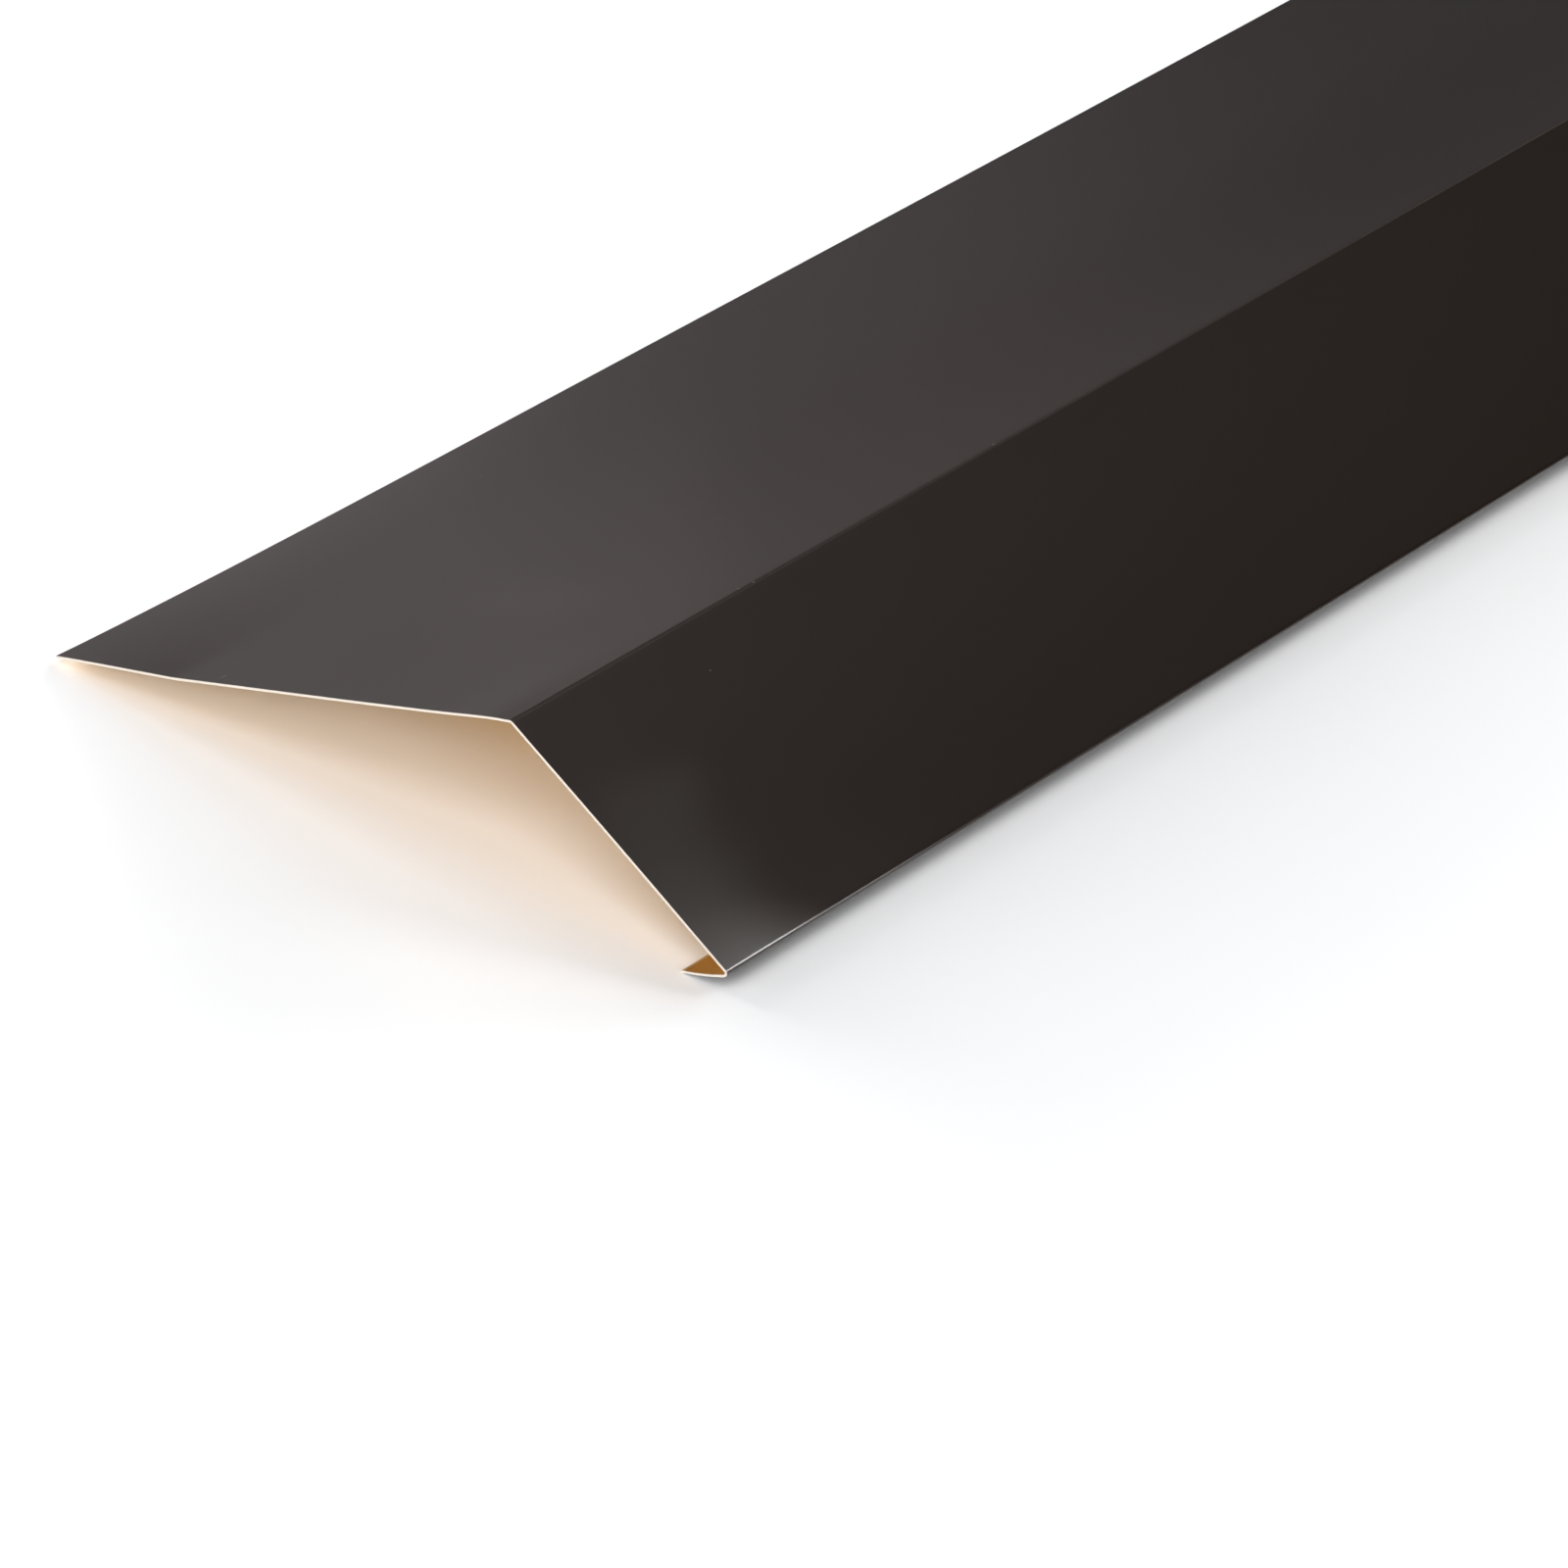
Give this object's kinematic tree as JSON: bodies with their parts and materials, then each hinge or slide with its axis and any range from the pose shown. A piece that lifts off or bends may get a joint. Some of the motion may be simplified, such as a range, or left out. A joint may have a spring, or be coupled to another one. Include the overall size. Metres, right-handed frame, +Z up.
{
  "type": "eaves flashing",
  "caption": "Folded prepainted steel eaves flashing: a flat flange for the roof edge, an angled leg and a narrow folded-back drip lip.",
  "frame": {"origin": "middle of the footprint, on the surface the sheet lies on", "axes": "+Y along the eaves, +X from the flange towards the leg, +Z up with the painted side up; the pictured end is at -Y"},
  "size_m": [0.1494, 2, 0.0319],
  "materials": {
    "paint": "satin dark grey-brown prepainted coat on the outside; thin ochre back coat inside; bare bright cut edges"
  },
  "bodies": {
    "root": {"flashing_sheet": "paint"}
  },
  "joints": []
}
